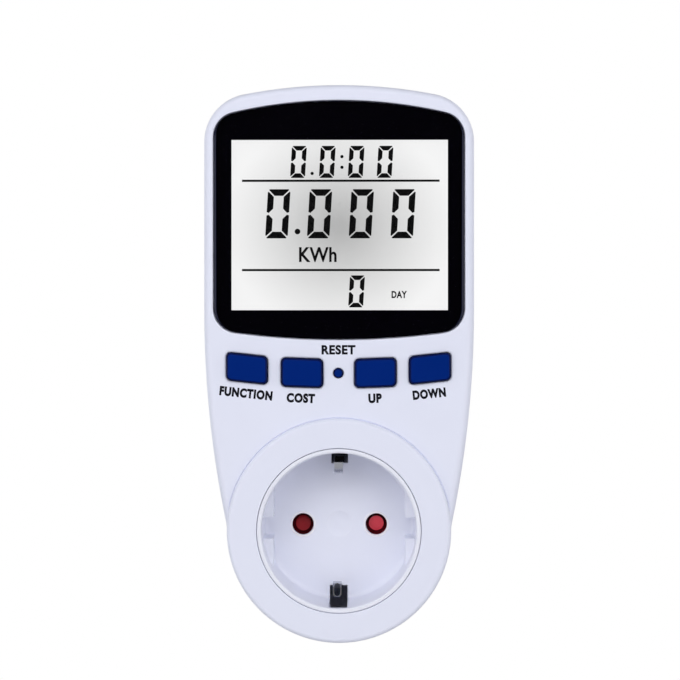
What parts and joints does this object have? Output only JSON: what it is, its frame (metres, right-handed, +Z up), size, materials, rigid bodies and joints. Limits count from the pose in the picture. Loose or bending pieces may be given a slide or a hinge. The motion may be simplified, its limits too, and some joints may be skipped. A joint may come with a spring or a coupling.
{
  "type": "plug in power meter",
  "caption": "Plug-in mains power meter with an arched display window, push keys and a shuttered recessed earthed outlet in front of its own plug.",
  "frame": {"origin": "centre of the plug's end face, on the axis shared by the plug and the outlet", "axes": "+X to the right of a user in front of the meter, +Y along the pins into the wall outlet, +Z up towards the display"},
  "size_m": [0.068, 0.0745, 0.1399],
  "materials": {
    "shell_white": "fine satin moulded ABS",
    "insert_white": "smooth moulded plastic",
    "clear_lens": "clear polished acrylic",
    "mask_black": "black printed film behind the lens",
    "lcd_glass": "grey polariser over glass",
    "frame_white": "white moulded plastic",
    "diffuser_white": "white diffuser",
    "zebra_rubber": "striped conductive rubber",
    "board_green": "green solder resist over glass fibre",
    "chip_black": "black moulding",
    "bright_steel": "bright zinc-plated steel",
    "capacitor_yellow": "yellow box film capacitor",
    "sleeve_black": "black shrink sleeve",
    "varistor_blue": "blue epoxy dip",
    "resistance_metal": "dull copper-nickel alloy",
    "battery_green": "green shrink sleeve",
    "nickel_plate": "nickel-plated brass",
    "contact_brass": "rolled brass",
    "carrier_grey": "grey moulded plastic",
    "shutter_red": "red moulded plastic",
    "key_blue": "dark blue moulded key",
    "plunger_white": "white switch plunger",
    "wire_brown": "brown insulation",
    "wire_blue": "blue insulation"
  },
  "bodies": {
    "meter": {"front_housing": "shell_white", "rear_housing": "shell_white", "socket_insert": "insert_white", "display_lens": "clear_lens", "lens_mask": "mask_black", "lcd_panel": "lcd_glass", "lcd_frame": "frame_white", "backlight_panel": "diffuser_white", "zebra_strip": "zebra_rubber", "display_board": "board_green", "controller_chip": "chip_black", "crystal": "bright_steel", "power_board": "board_green", "metering_chip": "chip_black", "x2_capacitor": "capacitor_yellow", "electrolytic_capacitor": "sleeve_black", "varistor": "varistor_blue", "shunt_resistor": "resistance_metal", "bridge_rectifier": "chip_black", "board_link_header": "chip_black", "backup_battery": "battery_green", "plug_pin_left": "nickel_plate", "plug_pin_right": "nickel_plate", "pin_retainer": "frame_white", "earth_strap": "nickel_plate", "earth_pin_receptacle": "contact_brass", "socket_contact_left": "contact_brass", "socket_contact_right": "contact_brass", "contact_carrier": "carrier_grey", "shutter_spring": "bright_steel", "shutter_cover": "frame_white", "live_in_wire": "wire_brown", "live_out_wire": "wire_brown", "neutral_in_wire": "wire_blue", "neutral_out_wire": "wire_blue", "function_switch": "chip_black", "cost_switch": "chip_black", "up_switch": "chip_black", "down_switch": "chip_black", "reset_switch": "chip_black", "housing_screw_1": "bright_steel", "housing_screw_2": "bright_steel", "housing_screw_3": "bright_steel", "housing_screw_4": "bright_steel", "display_screw_1": "bright_steel", "display_screw_2": "bright_steel"},
    "function_button": {"function_key": "key_blue", "function_plunger": "plunger_white"},
    "cost_button": {"cost_key": "key_blue", "cost_plunger": "plunger_white"},
    "up_button": {"up_key": "key_blue", "up_plunger": "plunger_white"},
    "down_button": {"down_key": "key_blue", "down_plunger": "plunger_white"},
    "reset_button": {"reset_key": "key_blue", "reset_plunger": "plunger_white"},
    "shutter": {"safety_shutter": "shutter_red"},
    "earth_clip_top": {"socket_earth_clip_top": "nickel_plate"},
    "earth_clip_bottom": {"socket_earth_clip_bottom": "nickel_plate"}
  },
  "joints": [
    {"name": "function_press", "type": "slide", "parent": "meter", "child": "function_button", "axis": [0, 1, 0], "range_m": [0, 0.0005], "stiffness_N_per_m": 900},
    {"name": "cost_press", "type": "slide", "parent": "meter", "child": "cost_button", "axis": [0, 1, 0], "range_m": [0, 0.0005], "stiffness_N_per_m": 900},
    {"name": "up_press", "type": "slide", "parent": "meter", "child": "up_button", "axis": [0, 1, 0], "range_m": [0, 0.0005], "stiffness_N_per_m": 900},
    {"name": "down_press", "type": "slide", "parent": "meter", "child": "down_button", "axis": [0, 1, 0], "range_m": [0, 0.0005], "stiffness_N_per_m": 900},
    {"name": "reset_press", "type": "slide", "parent": "meter", "child": "reset_button", "axis": [0, 1, 0], "range_m": [0, 0.0005], "stiffness_N_per_m": 900},
    {"name": "shutter_turn", "type": "hinge", "parent": "meter", "child": "shutter", "pos_m": [0, -0.035, 0], "axis": [0, 1, 0], "range_deg": [0, 38], "stiffness_Nm_per_rad": 0.003, "springref_deg": -11.46},
    {"name": "earth_clip_top_flex", "type": "hinge", "parent": "meter", "child": "earth_clip_top", "pos_m": [0, -0.025, 0.0165], "axis": [-1, 0, 0], "range_deg": [0, 5], "stiffness_Nm_per_rad": 1.2},
    {"name": "earth_clip_bottom_flex", "type": "hinge", "parent": "meter", "child": "earth_clip_bottom", "pos_m": [0, -0.025, -0.0165], "axis": [1, 0, 0], "range_deg": [0, 5], "stiffness_Nm_per_rad": 1.2}
  ]
}
